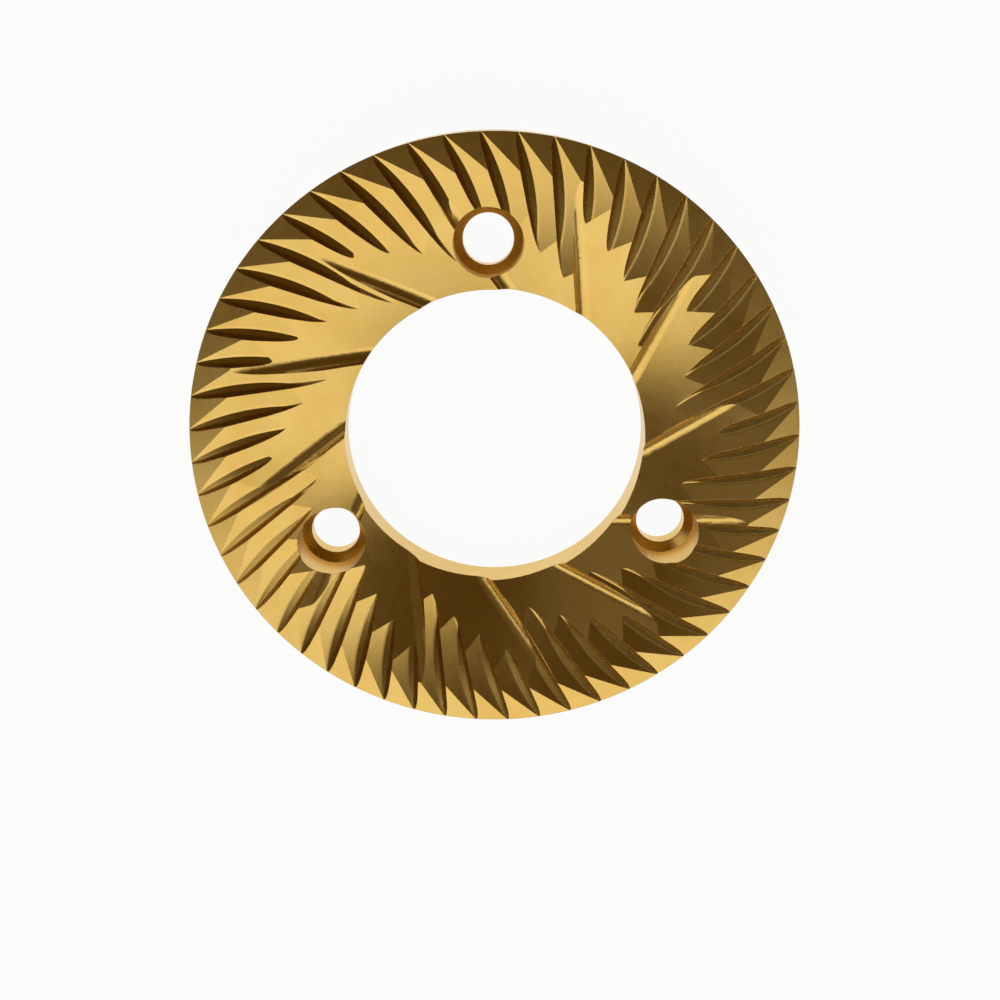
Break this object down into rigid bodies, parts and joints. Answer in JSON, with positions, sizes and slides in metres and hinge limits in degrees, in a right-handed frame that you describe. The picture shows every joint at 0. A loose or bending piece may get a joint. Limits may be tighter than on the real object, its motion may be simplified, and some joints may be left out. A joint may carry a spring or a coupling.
{
  "type": "coffee grinder burr",
  "caption": "Flat coffee grinder burr: a gold-coated steel ring with fine skewed teeth at its rim, stepped feed ramps out of its bore and countersunk screw holes.",
  "frame": {"origin": "centre of the flat back face, on the bore's axis", "axes": "+Z along the bore's axis, out of the toothed face; +Y through the centre of a screw hole"},
  "size_m": [0.075, 0.075, 0.009],
  "materials": {
    "coated_steel": "hardened steel with a satin gold titanium nitride coating, lands ground flat"
  },
  "bodies": {
    "root": {"burr": "coated_steel"}
  },
  "joints": []
}
